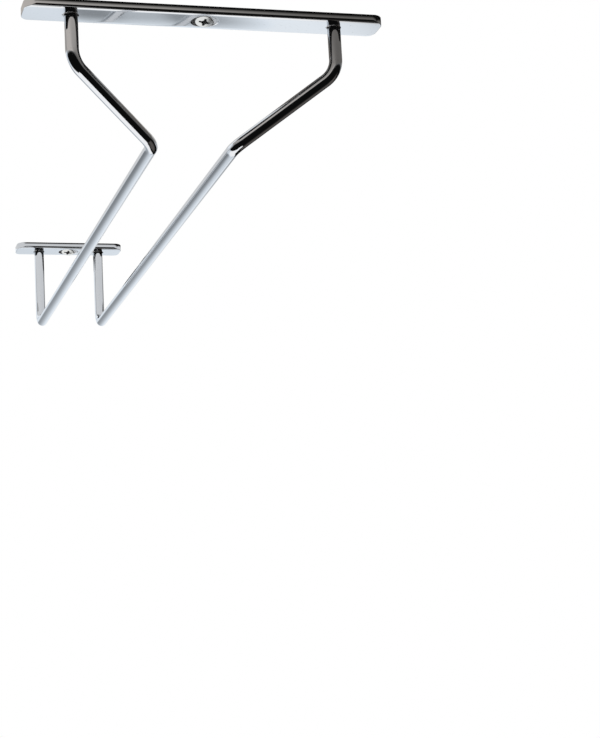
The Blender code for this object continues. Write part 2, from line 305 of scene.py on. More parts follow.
def rail_wire(name, side):
    """The left (side -1) or right (1) wire, from its front weld to its rear one."""
    top = UNDERSIDE_Z + WIRE_SINK
    corners = [
        (side * LEG_X, FRONT_Y, top),
        (side * LEG_X, FRONT_Y, LEG_CORNER_Z),
        (side * RAIL_X, FRONT_Y + MOUTH_DEPTH, RAIL_Z),
        (side * RAIL_X, REAR_Y, RAIL_Z),
        (side * RAIL_X, REAR_Y, top),
    ]
    return swept(name, bent_path(corners, BEND_RADII), WIRE_RADIUS, WIRE_SIDES)


# Bars

def bar_outline(length, inset):
    """A rounded rectangle about the origin, drawn in by inset, and its outward directions."""
    radius = max(CORNER_RADIUS - inset, LEAST_CORNER)
    half_x = length / 2 - CORNER_RADIUS
    half_y = BAR_WIDTH / 2 - CORNER_RADIUS
    points, outward = [], []
    for quarter, (sign_x, sign_y) in enumerate(((1, 1), (-1, 1), (-1, -1), (1, -1))):
        for step in range(CORNER_STEPS + 1):
            angle = (quarter + step / CORNER_STEPS) * pi / 2
            spoke = Vector((cos(angle), sin(angle)))
            outward.append(spoke)
            points.append(Vector((sign_x * half_x, sign_y * half_y)) + spoke * radius)
    return points, outward


def hole_profile():
    """(radius, z, outward part, upward part) down the hole: plain wall, cone, rounded rim."""
    cone_top = UNDERSIDE_Z + COUNTERSINK_RADIUS - HOLE_RADIUS
    slope = sin(pi / 4)
    profile = [
        (HOLE_RADIUS, TOP_Z, -1.0, 0.0),
        (HOLE_RADIUS, cone_top, -1.0, 0.0),
        (HOLE_RADIUS, cone_top, -slope, -slope),
    ]
    reach = COUNTERSINK_LIP / tan(pi / 8)
    for step in range(LIP_STEPS + 1):
        lean = pi / 4 * (1 - step / LIP_STEPS)
        radius = COUNTERSINK_RADIUS + COUNTERSINK_LIP - reach * sin(lean)
        z = UNDERSIDE_Z + reach * (1 - cos(lean))
        profile.append((radius, z, -sin(lean), -cos(lean)))
    return profile


def face_arcs(up):
    """(radius, first lean, last lean) of the arcs from a bar's middle line out to its long edge."""
    if up > 0:
        return [(TOP_EDGE_RADIUS, 0.0, pi / 2)]
    outer = SHOULDER_RADIUS * sin(SHOULDER_LEAN) + EDGE_RADIUS * (1 - sin(SHOULDER_LEAN))
    crown_lean = asin((BAR_WIDTH / 2 - outer) / (CROWN_RADIUS - SHOULDER_RADIUS))
    return [
        (CROWN_RADIUS, 0.0, crown_lean),
        (SHOULDER_RADIUS, crown_lean, SHOULDER_LEAN),
        (EDGE_RADIUS, SHOULDER_LEAN, pi / 2),
    ]


def rolled_face(y, up):
    """Half the bar's thickness at a distance y from its middle line, and the way its face looks."""
    arcs = face_arcs(up)
    reach = sum(radius * (sin(last) - sin(first)) for radius, first, last in arcs)
    past = abs(y) - (BAR_WIDTH / 2 - reach)
    half, lean = BAR_THICKNESS / 2, 0.0
    for radius, first, last in arcs:
        if past > 0:
            lean = asin(min(sin(first) + past / radius, sin(last)))
            half -= radius * (cos(first) - cos(lean))
            past -= radius * (sin(last) - sin(first))
    return half, Vector((0, copysign(sin(lean), y), cos(lean)))


def edge_insets(up):
    """How far each ring of the bar's skin lies inside its outline, and its lean round the cut edge."""
    insets = []
    for step in range(CUT_STEPS):
        lean = pi / 2 * step / CUT_STEPS
        insets.append((CUT_EDGE * (1 - cos(lean)), lean))
    inset = 0.0
    for (radius, first, last), steps in zip(face_arcs(up)[::-1], ARC_STEPS):
        for step in range(1, steps + 1):
            lean = last + (first - last) * step / steps
            here = inset + radius * (sin(last) - sin(lean))
            if here >= CUT_EDGE:
                insets.append((here, pi / 2))
        inset = here
    return insets


def bar_ring(length, inset, lean, up):
    """Points and normals of one ring of a bar about the origin, on its lower or upper half."""
    placed, facings = [], []
    ring_points, outward = bar_outline(length, inset)
    edge_points, _ = bar_outline(length, 0.0)
    for place, edge, spoke in zip(ring_points, edge_points, outward):
        half, facing = rolled_face(place.y, up)
        flatness = rolled_face(edge.y, up)[1].z
        half -= CUT_EDGE * (1 - sin(lean)) * flatness
        side = Vector((spoke.x, spoke.y, 0))
        if inset == 0:
            facing = side
        else:
            facing = facing.lerp(facing * sin(lean) + side * cos(lean), flatness).normalized()
        placed.append(Vector((place.x, place.y, up * half)))
        facings.append(Vector((facing.x, facing.y, up * facing.z)))
    return placed, facings


def hole_rings(points, normals):
    """Add the rings of a countersunk hole about the origin, and return their point numbers."""
    rings = []
    for radius, z, out_part, up_part in hole_profile():
        ring = []
        for side in range(HOLE_SIDES):
            angle = 2 * pi * side / HOLE_SIDES
            across = radius * sin(angle)
            crown = CROWN_RADIUS - sqrt(CROWN_RADIUS ** 2 - across ** 2) if z < TOP_Z else 0.0
            tilt = across / CROWN_RADIUS * abs(up_part)
            facing = Vector((out_part * cos(angle), out_part * sin(angle) + tilt, up_part))
            ring.append(len(points))
            points.append(Vector((radius * cos(angle), across, z + crown)))
            normals.append(facing.normalized())
        rings.append(ring)
    return rings


def flat_bar(name, length, y):
    """A plated flat bar: rolled long edges, ends cut with rounded corners, one countersunk hole."""
    points, normals, rings = [], [], []
    middle = Vector((0, 0, (TOP_Z + UNDERSIDE_Z) / 2))
    for up, order in ((-1, edge_insets(-1)[::-1]), (1, edge_insets(1))):
        for inset, lean in order:
            placed, facings = bar_ring(length, inset, lean, up)
            rings.append([len(points) + i for i in range(len(placed))])
            points += [middle + place for place in placed]
            normals += facings
    faces = skin_faces(rings)

    # The wall and the cone each have their own ring where they meet, so that the edge stays sharp
    hole = hole_rings(points, normals)
    faces += skin_faces(hole[:2]) + skin_faces(hole[2:])

    faces += flat_faces(points, rings[0], hole[-1], -1)
    upper_rim = [len(points) + i for i in range(HOLE_SIDES)]
    points += [points[i].copy() for i in hole[0]]
    normals += [Vector((0, 0, 1))] * HOLE_SIDES
    faces += flat_faces(points, rings[-1], upper_rim, 1)
    return mesh_piece(name, [place + Vector((0, y, 0)) for place in points], faces, normals)


def flat_faces(points, outer, inner, facing):
    """Triangles between an outline and the hole inside it, looking down (-1) or up (1)."""
    faces = []
    order = outer + inner
    for triangle in tessellate_polygon([[points[i] for i in outer], [points[i] for i in inner]]):
        corners = [order[i] for i in triangle]
        a, b, c = (points[i] for i in corners)
        if (b - a).cross(c - a).z * facing < 0:
            corners.reverse()
        faces.append(tuple(corners))
    return faces


# Welds

def remainder_turn(angle):
    """The same angle, brought between minus and plus half a turn."""
    return (angle + pi) % (2 * pi) - pi


def bead_surface(angle, share, seed, nubs):
    """Radius and z of a bead at an angle, from the bar (share 0) to the wire (share 1)."""
    spoke = Vector((cos(angle), sin(angle), 0))
    nub = sum(exp(-((remainder_turn(angle - at) / width) ** 2)) for at, width in nubs)
    grain = noise.noise((spoke * WELD_RADIUS + Vector((0, 0, seed))) / WELD_GRAIN)
    proud = (BEAD_REACH + BEAD_REACH_LUMP * grain + BEAD_REACH_NUB * nub) * MM
    reach = min(WELD_RADIUS, WIRE_RADIUS + proud) - WIRE_RADIUS
    drop = WELD_DROP * (BEAD_DROP + BEAD_DROP_LUMP * grain + BEAD_DROP_NUB * nub)
    lean = share * pi / 2
    lump = 1 + BEAD_UNEVEN * noise.noise(Vector((angle * 3, share * 4, seed + 7.0)))
    radius = WIRE_RADIUS + reach * (1 - sin(lean)) ** BEAD_HOLLOW * lump - BEAD_SINK * share
    z = UNDERSIDE_Z + BEAD_SINK - drop * (1 - cos(lean)) ** BEAD_HOLLOW * lump
    return radius, z


def weld_bead(name, x, y, seed, nubs):
    """A lumpy collar in the corner between a wire's end and the bar, with nubs at some angles."""
    points, rings = [], []
    angles = [2 * pi * side / WELD_SIDES for side in range(WELD_SIDES)]
    for ring_index in range(WELD_RINGS + 1):
        rings.append([len(points) + i for i in range(WELD_SIDES)])
        for angle in angles:
            radius, z = bead_surface(angle, ring_index / WELD_RINGS, seed, nubs)
            points.append(round_point(radius, angle, z, x, y))
    rings.append([len(points) + i for i in range(WELD_SIDES)])
    for angle in angles:
        points.append(round_point(WIRE_RADIUS - BEAD_SINK, angle, UNDERSIDE_Z + BEAD_SINK, x, y))
    faces = [face[::-1] for face in skin_faces(rings + rings[:1])]
    return mesh_piece(name, points, faces)


# Screws

def shank_radius(z, angle):
    """Radius of the threaded shank at a height and an angle."""
    start = NECK_Z + NECK_LENGTH
    into_tip = max(0.0, (z - SCREW_LENGTH + TIP_LENGTH) / TIP_LENGTH)
    core = CORE_RADIUS + (TIP_RADIUS - CORE_RADIUS) * into_tip
    turns = (z - start) / THREAD_PITCH - angle / (2 * pi)
    saw = abs(turns - round(turns)) * 2
    crest = max(0.0, 1 - saw / THREAD_SPREAD)
    fade = min(1.0, max(0.0, (z - start) / THREAD_PITCH)) * min(1.0, max(0.0, THREAD_FADE - into_tip))
    return core + THREAD_DEPTH * min(crest * THREAD_CREST, 1.0) * fade


def recess_cutter(name):
    """The driver's cross: four wings that shorten and a core that narrows towards its floor."""
    slot = RECESS_SLOT / 2
    shoulder, point = WING_SHOULDER * slot, WING_POINT * slot
    points, rings = [], []
    for depth in (-CUTTER_PROUD, *(level * RECESS_DEPTH for level in RECESS_LEVELS)):
        half = RECESS_SPAN / 2 * (1 - RECESS_TAPER * depth / RECESS_DEPTH)
        core = max(RECESS_CORE * (1 - depth / RECESS_DEPTH), slot * LEAST_CORE)
        beside = sqrt(core ** 2 - slot ** 2)
        corners = (
            (half - shoulder, -slot), (half + point, 0), (half - shoulder, slot),
            (beside, slot), (core * cos(pi / 4), core * sin(pi / 4)), (slot, beside),
        )
        rings.append([len(points) + i for i in range(4 * len(corners))])
        for quarter in range(4):
            turn = Matrix.Rotation(quarter * pi / 2 + RECESS_TURN, 3, "Z")
            points += [turn @ Vector((*corner, FACE_Z + depth)) for corner in corners]
    above = Vector((0, 0, FACE_Z - CUTTER_PROUD))
    floor = Vector((0, 0, FACE_Z + RECESS_DEPTH + RECESS_POINT))
    return closed_skin(name, points, rings, above, floor)


def head_stations():
    """(radius, z) from the middle of the domed face, over the rounded rim, to the neck."""
    rim_lean = asin((HEAD_RADIUS - RIM_ROUND) / (DOME_RADIUS - RIM_ROUND))
    rim_z = FACE_Z + DOME_RADIUS - (DOME_RADIUS - RIM_ROUND) * cos(rim_lean)
    stations = []
    for step in range(1, DOME_STEPS + 1):
        lean = rim_lean * step / DOME_STEPS
        stations.append((DOME_RADIUS * sin(lean), FACE_Z + DOME_RADIUS * (1 - cos(lean))))
    for step in range(1, RIM_STEPS + 1):
        lean = rim_lean + (pi / 2 - rim_lean) * step / RIM_STEPS
        radius = HEAD_RADIUS - RIM_ROUND * (1 - sin(lean))
        stations.append((radius, rim_z - RIM_ROUND * cos(lean)))
    stations += [
        (HEAD_RADIUS, 0.0),
        (CORE_RADIUS + NECK_ROUND, NECK_Z - NECK_ROUND),
        (CORE_RADIUS + NECK_FOOT[0], NECK_Z + NECK_FOOT[1]),
    ]
    return stations


def screw_skin(name):
    """Head, neck, threaded shank and tip as one turned skin."""
    first_shank = NECK_Z + SHANK_START
    rows = ceil((SCREW_LENGTH - first_shank) / SHANK_STEP)
    angles = [2 * pi * side / SCREW_SIDES for side in range(SCREW_SIDES)]
    points, rings = [], []
    for radius, z in head_stations():
        rings.append([len(points) + i for i in range(SCREW_SIDES)])
        points += [round_point(radius, angle, z) for angle in angles]
    for row in range(rows + 1):
        z = first_shank + (SCREW_LENGTH - first_shank) * row / rows
        rings.append([len(points) + i for i in range(SCREW_SIDES)])
        points += [round_point(shank_radius(z, angle), angle, z) for angle in angles]
    return closed_skin(name, points, rings, Vector((0, 0, FACE_Z)), Vector((0, 0, SCREW_LENGTH)))


def wood_screw(name, y):
    """A raised countersunk screw with the cross cut into its head, leaning in its hole."""
    screw = screw_skin(name)
    cutter = recess_cutter(f"{name}_cutter")
    cut = screw.modifiers.new("recess", "BOOLEAN")
    cut.operation = "DIFFERENCE"
    cut.solver = "EXACT"
    cut.object = cutter
    depsgraph = bpy.context.evaluated_depsgraph_get()
    mesh = bpy.data.meshes.new_from_object(screw.evaluated_get(depsgraph))
    screw.modifiers.clear()
    uncut = screw.data
    screw.data = mesh
    bpy.data.meshes.remove(uncut)
    mesh.name = name
    bpy.data.objects.remove(cutter, do_unlink=True)
    mesh.shade_smooth()
    mesh.set_sharp_from_angle(angle=SHARP_ANGLE)
    keep_places(mesh, "turned", [vertex.co for vertex in mesh.vertices])
    lean = Matrix.Rotation(SCREW_TURN, 4, "Z") @ Matrix.Rotation(-SCREW_LEAN, 4, "X")
    seat = lean @ Vector((0, 0, -seat_depth()))
    mesh.transform(Matrix.Translation(Vector((0, y, LEAN_Z)) + seat) @ lean)
    return screw


def seat_depth():
    """How far the head's widest edge lies below LEAN_Z, along the screw, when it meets the cone."""
    across = HEAD_RADIUS * (cos(SCREW_LEAN) + sin(SCREW_LEAN))
    room = COUNTERSINK_RADIUS - (LEAN_Z - UNDERSIDE_Z) - SEAT_GAP / cos(pi / 4)
    return (across - room) / (cos(SCREW_LEAN) - sin(SCREW_LEAN))


# Shader nodes

def linked(tree, node, values):
    """Fill a node's inputs, in order, with sockets or plain values."""
    for socket, value in zip(node.inputs, values):
        if isinstance(value, bpy.types.NodeSocket):
            tree.links.new(value, socket)
        elif value is not None:
            socket.default_value = value
    return node


def maths(tree, operation, *values, clamp=False):
    node = tree.nodes.new("ShaderNodeMath")
    node.operation = operation
    node.use_clamp = clamp
    return linked(tree, node, values).outputs[0]


def product(tree, first, *others):
    """All the values multiplied together."""
    for other in others:
        first = maths(tree, "MULTIPLY", first, other)
    return first


def vector_maths(tree, operation, *values):
    node = tree.nodes.new("ShaderNodeVectorMath")
    node.operation = operation
    linked(tree, node, values)
    return node.outputs["Value" if operation in ("DOT_PRODUCT", "LENGTH") else "Vector"]


def split(tree, vector):
    """The X, Y and Z of a vector."""
    parts = tree.nodes.new("ShaderNodeSeparateXYZ")
    tree.links.new(vector, parts.inputs[0])
    return parts.outputs


def eased(tree, value, low, high, out_low=0.0, out_high=1.0):
    """A soft step of value between low and high."""
    node = tree.nodes.new("ShaderNodeMapRange")
    node.interpolation_type = "SMOOTHSTEP"
    node.clamp = True
    linked(tree, node, (value, low, high, out_low, out_high))
    return node.outputs[0]


def mixed(tree, share, first, second):
    """A colour between two others."""
    node = tree.nodes.new("ShaderNodeMix")
    node.data_type = "RGBA"
    for key, value in (("Factor_Float", share), ("A_Color", first), ("B_Color", second)):
        socket = next(s for s in node.inputs if s.identifier == key)
        if isinstance(value, bpy.types.NodeSocket):
            tree.links.new(value, socket)
        else:
            socket.default_value = value
    return next(s for s in node.outputs if s.identifier == "Result_Color")


def noise_value(tree, coordinates, scale, detail=2.0, stretch=(1, 1, 1), offset=0.0):
    place = tree.nodes.new("ShaderNodeMapping")
    tree.links.new(coordinates, place.inputs["Vector"])
    place.inputs["Scale"].default_value = stretch
    place.inputs["Location"].default_value = (offset, offset, offset)
    node = tree.nodes.new("ShaderNodeTexNoise")
    tree.links.new(place.outputs[0], node.inputs["Vector"])
    node.inputs["Scale"].default_value = scale
    node.inputs["Detail"].default_value = detail
    return node.outputs["Fac"]


def object_place(tree):
    """Where a point lies in its object."""
    return tree.nodes.new("ShaderNodeTexCoord").outputs["Object"]


def kept_place(tree, attribute):
    """A place that keep_places stored."""
    source = tree.nodes.new("ShaderNodeAttribute")
    source.attribute_name = attribute
    return source.outputs["Vector"]


def embossed(tree, shader, height):
    """Let a height in metres tilt a shader's normal."""
    bump = tree.nodes.new("ShaderNodeBump")
    bump.inputs["Strength"].default_value = 1.0
    bump.inputs["Distance"].default_value = 1.0
    tree.links.new(height, bump.inputs["Height"])
    tree.links.new(bump.outputs[0], shader.inputs["Normal"])


def one_sided(tree, shown):
    """A surface that is clear from behind."""
    clear = tree.nodes.new("ShaderNodeBsdfTransparent")
    behind = tree.nodes.new("ShaderNodeNewGeometry").outputs["Backfacing"]
    blend = tree.nodes.new("ShaderNodeMixShader")
    return linked(tree, blend, (behind, shown, clear.outputs[0])).outputs[0]


def grey(value):
    return (value, value, value, 1.0)


def direction_of(azimuth, elevation):
    """A unit direction. Azimuth is from +Y towards +X, and both angles are in degrees."""
    turn, rise = radians(azimuth), radians(elevation)
    return Vector((sin(turn) * cos(rise), cos(turn) * cos(rise), sin(rise)))


# Finishes

ALONG_GRAIN = 0.04  # how much the fine lines are drawn out along the grain
ALONG_CLOUDS = 0.35  # the same for the broad patches and waves
PIT_GREY = grey(0.30)
PIT_TONE = 0.35  # how strongly a pit takes on that grey
PIT_ROUGHNESS = 0.05  # added in a pit
PORE_GREY = grey(0.12)  # the same for the pores of a weld
PORE_TONE = 0.7
PORE_RELIEF = -2.0e-5  # metres
BEAD_RELIEF = 6.0e-5
SATIN = 0.5  # roughness of the countersink's turned wall
SATIN_EDGE = 0.2 * MM  # how far in from the countersink's rim it is full
SATIN_RISE = (0.1 * MM, 0.3 * MM)  # heights above the underside where it starts and is full
RING_PITCH = 0.11 * MM  # turning rings on a screw
RING_RELIEF = 0.25e-6
SCREW_RELIEF = 4.0e-6
# Painted shade in the screw's cross recess: a dark colour that deepens towards the recess's floor and
# middle, with more roughness there
RECESS_SHADE_COLOUR = (0.10, 0.10, 0.09, 1)
RECESS_SHADE_TONE = 0.75
RECESS_ROUGHNESS = 0.25
RECESS_SHADE_RISE = (0.35 * MM, 1.3 * MM)  # depths below the head's face where the painted shade in the recess starts and is full
RECESS_SHADE_REACH = 0.4  # share of the recess's span inside which the painted shade is full


def new_metal(name):
    material = bpy.data.materials.new(name)
    material.use_nodes = True
    tree = material.node_tree
    shader = tree.nodes["Principled BSDF"]
    shader.inputs["Metallic"].default_value = 1.0
    return material, tree, shader


def plated(name, colour, shade, roughness, rough_spread, grain_axis, wave, lines, attribute=None):
    """Chrome plate over drawn or rolled steel: faint waves, fine lines along the grain, small pits."""
    material, tree, shader = new_metal(name)
    coordinates = kept_place(tree, attribute) if attribute else object_place(tree)
    fine = tuple(ALONG_GRAIN if axis == grain_axis else 1.0 for axis in range(3))
    broad = tuple(ALONG_CLOUDS if axis == grain_axis else 1.0 for axis in range(3))
    clouds = noise_value(tree, coordinates, scale=60.0, detail=3.0, stretch=broad)
    streaks = noise_value(tree, coordinates, scale=2600.0, detail=3.0, stretch=fine, offset=3.1)
    specks = noise_value(tree, coordinates, scale=1500.0, detail=1.0, offset=7.7)
    pits = eased(tree, specks, low=0.30, high=0.22)

    tone = mixed(tree, eased(tree, clouds, low=0.35, high=0.7), (*shade, 1.0), (*colour, 1.0))
    tone = mixed(tree, maths(tree, "MULTIPLY", pits, PIT_TONE), tone, PIT_GREY)
    tree.links.new(tone, shader.inputs["Base Color"])

    worn = eased(tree, clouds, low=0.4, high=0.8, out_low=roughness, out_high=roughness + rough_spread)
    rough = maths(tree, "MULTIPLY_ADD", streaks, rough_spread, worn)
    rough = maths(tree, "MULTIPLY_ADD", pits, PIT_ROUGHNESS, rough)
    tree.links.new(rough, shader.inputs["Roughness"])

    waves = noise_value(tree, coordinates, scale=190.0, stretch=broad, offset=1.3)
    height = maths(tree, "MULTIPLY", waves, wave)
    height = maths(tree, "MULTIPLY_ADD", streaks, lines, height)
    embossed(tree, shader, height)
    return material


def bar_finish(name, y):
    """Polished plate, satin on the turned wall of the countersink."""
    material = plated(
        name, colour=(0.865, 0.88, 0.90), shade=(0.84, 0.855, 0.875), roughness=0.03, rough_spread=0.035,
        grain_axis=0, wave=3.0e-6, lines=0.25e-6,
    )
    tree = material.node_tree
    place = object_place(tree)
    from_hole = vector_maths(tree, "SUBTRACT", place, (0, y, 0))
    from_axis = vector_maths(tree, "LENGTH", vector_maths(tree, "MULTIPLY", from_hole, (1, 1, 0)))
    inside = eased(tree, from_axis, COUNTERSINK_RADIUS, COUNTERSINK_RADIUS - SATIN_EDGE)
    start, full = SATIN_RISE
    above = eased(tree, split(tree, place)[2], UNDERSIDE_Z + start, UNDERSIDE_Z + full)
    satin = maths(tree, "MULTIPLY", maths(tree, "MULTIPLY", inside, above), SATIN)
    roughness = tree.nodes["Principled BSDF"].inputs["Roughness"]
    tree.links.new(maths(tree, "MAXIMUM", roughness.links[0].from_socket, satin), roughness)
    return material


def wire_finish(name):
    return plated(
        name, colour=(0.86, 0.875, 0.90), shade=(0.83, 0.845, 0.87), roughness=0.035, rough_spread=0.04,
        grain_axis=2, wave=1.2e-6, lines=0.2e-6, attribute="straight",
    )


def weld_finish(name):
    """Plate over a rough bead: duller, mottled, with small pores."""
    material, tree, shader = new_metal(name)
    coordinates = object_place(tree)
    mottle = noise_value(tree, coordinates, scale=900.0, detail=4.0)
    specks = noise_value(tree, coordinates, scale=2600.0, offset=5.0)
    pores = eased(tree, specks, low=0.40, high=0.28)
    patches = eased(tree, mottle, low=0.3, high=0.7)
    tone = mixed(tree, patches, (0.40, 0.39, 0.38, 1), (0.62, 0.62, 0.63, 1))
    tone = mixed(tree, maths(tree, "MULTIPLY", pores, PORE_TONE), tone, PORE_GREY)
    tree.links.new(tone, shader.inputs["Base Color"])
    rough = eased(tree, mottle, low=0.25, high=0.75, out_low=0.34, out_high=0.16)
    tree.links.new(rough, shader.inputs["Roughness"])
    lumps = maths(tree, "MULTIPLY", mottle, BEAD_RELIEF)
    height = maths(tree, "MULTIPLY_ADD", pores, PORE_RELIEF, lumps)
    embossed(tree, shader, height)
    return material


def screw_finish(name):
    """Bright plated steel with turning rings, rougher in the recess and darkened there by painted shade.
    Laid out about its own axis.
    """
    material, tree, shader = new_metal(name)
    coordinates = kept_place(tree, "turned")
    x, y, z = split(tree, coordinates)
    squares = maths(tree, "ADD", maths(tree, "MULTIPLY", x, x), maths(tree, "MULTIPLY", y, y))
    from_axis = maths(tree, "SQRT", squares)
    mottle = noise_value(tree, coordinates, scale=700.0, detail=3.0)
    rings = maths(tree, "SINE", maths(tree, "MULTIPLY", from_axis, 2 * pi / RING_PITCH))
    # Painted shade: darkens the recess below the head's face, towards the middle of the cross
    deep = eased(tree, z, FACE_Z + RECESS_SHADE_RISE[0], FACE_Z + RECESS_SHADE_RISE[1])
    inside = eased(tree, from_axis, RECESS_SPAN / 2, RECESS_SPAN * RECESS_SHADE_REACH)
    recess_shade = maths(tree, "MULTIPLY", deep, inside)
    patches = eased(tree, mottle, low=0.3, high=0.7)
    tone = mixed(tree, patches, (0.74, 0.75, 0.74, 1), (0.83, 0.84, 0.83, 1))
    tone = mixed(tree, maths(tree, "MULTIPLY", recess_shade, RECESS_SHADE_TONE), tone, RECESS_SHADE_COLOUR)
    tree.links.new(tone, shader.inputs["Base Color"])
    rough = eased(tree, mottle, low=0.25, high=0.75, out_low=0.18, out_high=0.28)
    rough = maths(tree, "MULTIPLY_ADD", recess_shade, RECESS_ROUGHNESS, rough)
    tree.links.new(rough, shader.inputs["Roughness"])
    lumps = maths(tree, "MULTIPLY", mottle, SCREW_RELIEF)
    height = maths(tree, "MULTIPLY_ADD", rings, RING_RELIEF, lumps)
    embossed(tree, shader, height)
    return material


# Cards round the rack, in metres: glowing cards that only mirrors see, painting reflections of the
# cupboard's underside with painted light and shadow on it

CARD_Z = 0.1 * MM
CARD_OVERLAP = 1.3 * MM  # how far a card reaches in over a bar's rounded edge
NEAR_Y = BAR_WIDTH / 2 + 0.5 * MM  # where the cards behind the front bar start
WHITE = grey(1.0)
# Painted shadow on the cupboard's underside, for the black cards behind the bars
SHADOW_BLACK = grey(0.004)
CONTACT_SHADOW_GREY = grey(0.003)  # painted contact shadow where a bar touches the cupboard
CONTACT_FADE = (2.0 * MM, 4.8 * MM)  # how far outside a bar that painted shadow begins to fade, and ends
CONTACT_START = (5.0 * MM, 1.0 * MM)  # how far in from its left end it is full, and starts
SOFFIT_LEFT_FADE = (-0.07, -0.045)  # X where its left tone turns into the middle one
SOFFIT_RIGHT_FADE = (-0.05, 0.06)  # X where the middle one turns into the right one
# Tones of painted light and shade on the cupboard's underside: paler to the left and behind, darker to the
# right
LEFT_TONE = (0.36, 0.34, 0.32, 1)
RIGHT_TONE = (0.14, 0.128, 0.118, 1)
BACK_TONE = (0.56, 0.54, 0.51, 1)
# Flat glowing cards that only mirrors see: painted reflections of the cupboard's underside; the black ones
# are painted shadow behind the bars
FLAT_CARDS = (
    ("card_left", LEFT_TONE, ((-0.13, NEAR_Y), (-0.13, 0.06), (-0.0375, 0.06), (-0.0475, NEAR_Y))),
    ("shadow_card_behind_left", SHADOW_BLACK, ((-0.0475, NEAR_Y), (-0.0415, 0.04), (-0.018, 0.032), (-0.005, NEAR_Y))),
    ("shadow_card_behind_right", SHADOW_BLACK, ((-0.005, NEAR_Y), (-0.005, 0.0135), (0.0465, 0.0135), (0.0465, NEAR_Y))),
    ("card_right", RIGHT_TONE, ((0.0465, NEAR_Y), (0.0465, 0.04), (0.13, 0.04), (0.13, NEAR_Y))),
    ("card_right_inner", RIGHT_TONE, ((0.008, 0.0135), (0.016, 0.05), (0.0465, 0.05), (0.0465, 0.0135))),
    ("card_back", BACK_TONE, ((-0.01, 0.05), (-0.01, 0.119), (0.07, 0.119), (0.07, 0.05))),
    ("shadow_card_far", SHADOW_BLACK, ((-0.01, 0.334), (-0.01, 0.38), (0.04, 0.38), (0.04, 0.334))),
)
UNDERSIDE_X = (-12 * MM, 6 * MM)
UNDERSIDE_Y = (-30 * MM, 333 * MM)
UNDERSIDE_BOARD_Z = 0.02 * MM


def glowing(name, fill):
    """A material that glows in one colour, or in what fill makes, and is clear from behind."""
    material = bpy.data.materials.new(name)
    material.use_nodes = True
    tree = material.node_tree
    tree.nodes.clear()
    glow = tree.nodes.new("ShaderNodeEmission")
    if callable(fill):
        tree.links.new(fill(tree), glow.inputs["Color"])
    else:
        glow.inputs["Color"].default_value = fill
    output = tree.nodes.new("ShaderNodeOutputMaterial")
    tree.links.new(one_sided(tree, glow.outputs[0]), output.inputs["Surface"])
    return material


def keep_from_lighting(board):
    """Let a board give the rack neither diffuse light nor shade."""
    board.visible_diffuse = False
    board.visible_shadow = False
    board.visible_transmission = False


def card(name, points, faces, fill):
    """A flat card that only mirrors can see: a glowing, painted reflection."""
    board = mesh_piece(name, points, faces)
    board.data.materials.append(glowing(name, fill))
    keep_from_lighting(board)
    board.visible_camera = False


def beside_bar(tree, bar_length, bar_y):
    """How far a point of a card lies outside a bar's outline, and its X."""
    x, y, _ = split(tree, object_place(tree))
    past_end = maths(tree, "SUBTRACT", maths(tree, "ABSOLUTE", x), bar_length / 2)
    from_middle = maths(tree, "ABSOLUTE", maths(tree, "SUBTRACT", y, bar_y))
    past_side = maths(tree, "SUBTRACT", from_middle, BAR_WIDTH / 2)
    return maths(tree, "MAXIMUM", past_end, past_side), x


def soffit_fill(bar_length, bar_y, left, middle, right):
    """The cupboard's underside round a bar as a painted reflection: three tones of painted light and shade
    from left to right, and black painted contact shadow at the bar.
    """
    def fill(tree):
        outside, x = beside_bar(tree, bar_length, bar_y)
        tone = mixed(tree, eased(tree, x, *SOFFIT_LEFT_FADE), (*left, 1), (*middle, 1))
        tone = mixed(tree, eased(tree, x, *SOFFIT_RIGHT_FADE), tone, (*right, 1))
        shadow, bare = (-bar_length / 2 + inwards for inwards in CONTACT_START)
        clear = maths(
            tree, "MAXIMUM", eased(tree, outside, *CONTACT_FADE), eased(tree, x, shadow, bare)
        )
        return mixed(tree, clear, CONTACT_SHADOW_GREY, tone)
    return fill


def soffit_card(name, x_span, y_span, bar_length, bar_y, left, middle, right):
    """A rectangular card with a window over a bar's top face."""
    corners = [(x_span[i], y_span[j]) for i, j in ((0, 0), (1, 0), (1, 1), (0, 1))]
    points = [Vector((x, y, CARD_Z)) for x, y in corners]
    window, _ = bar_outline(bar_length, CARD_OVERLAP)
    points += [Vector((place.x, bar_y + place.y, CARD_Z)) for place in window]
    outer = list(range(len(corners)))
    inner = list(range(len(corners), len(points)))
    fill = soffit_fill(bar_length, bar_y, left, middle, right)
    card(name, points, flat_faces(points, outer, inner, -1), fill)


def build_cards():
    """The cupboard's underside and the shadows on it, as the plated metal mirrors them: painted
    reflections, with painted light and painted shadows.
    """
    # The tones paint light and shade on the cupboard's underside: paler to the left, darker to the right
    soffit_card(
        "card_front", x_span=(-0.25, 0.25), y_span=(-0.30, 0.008),
        bar_length=FRONT_HIGH.x - FRONT_LOW.x, bar_y=FRONT_Y,
        left=(0.50, 0.465, 0.435), middle=(0.365, 0.345, 0.325), right=(0.13, 0.123, 0.115),
    )
    soffit_card(
        "card_rear", x_span=(-0.15, 0.15), y_span=(0.12, 0.333),
        bar_length=REAR_HIGH.x - REAR_LOW.x, bar_y=REAR_Y,
        left=(0.67, 0.68, 0.69), middle=(0.66, 0.67, 0.68), right=(0.63, 0.64, 0.655),
    )
    for name, tone, corners in FLAT_CARDS:
        card(name, [Vector((x, y, CARD_Z)) for x, y in corners], [(0, 1, 2, 3)], tone)


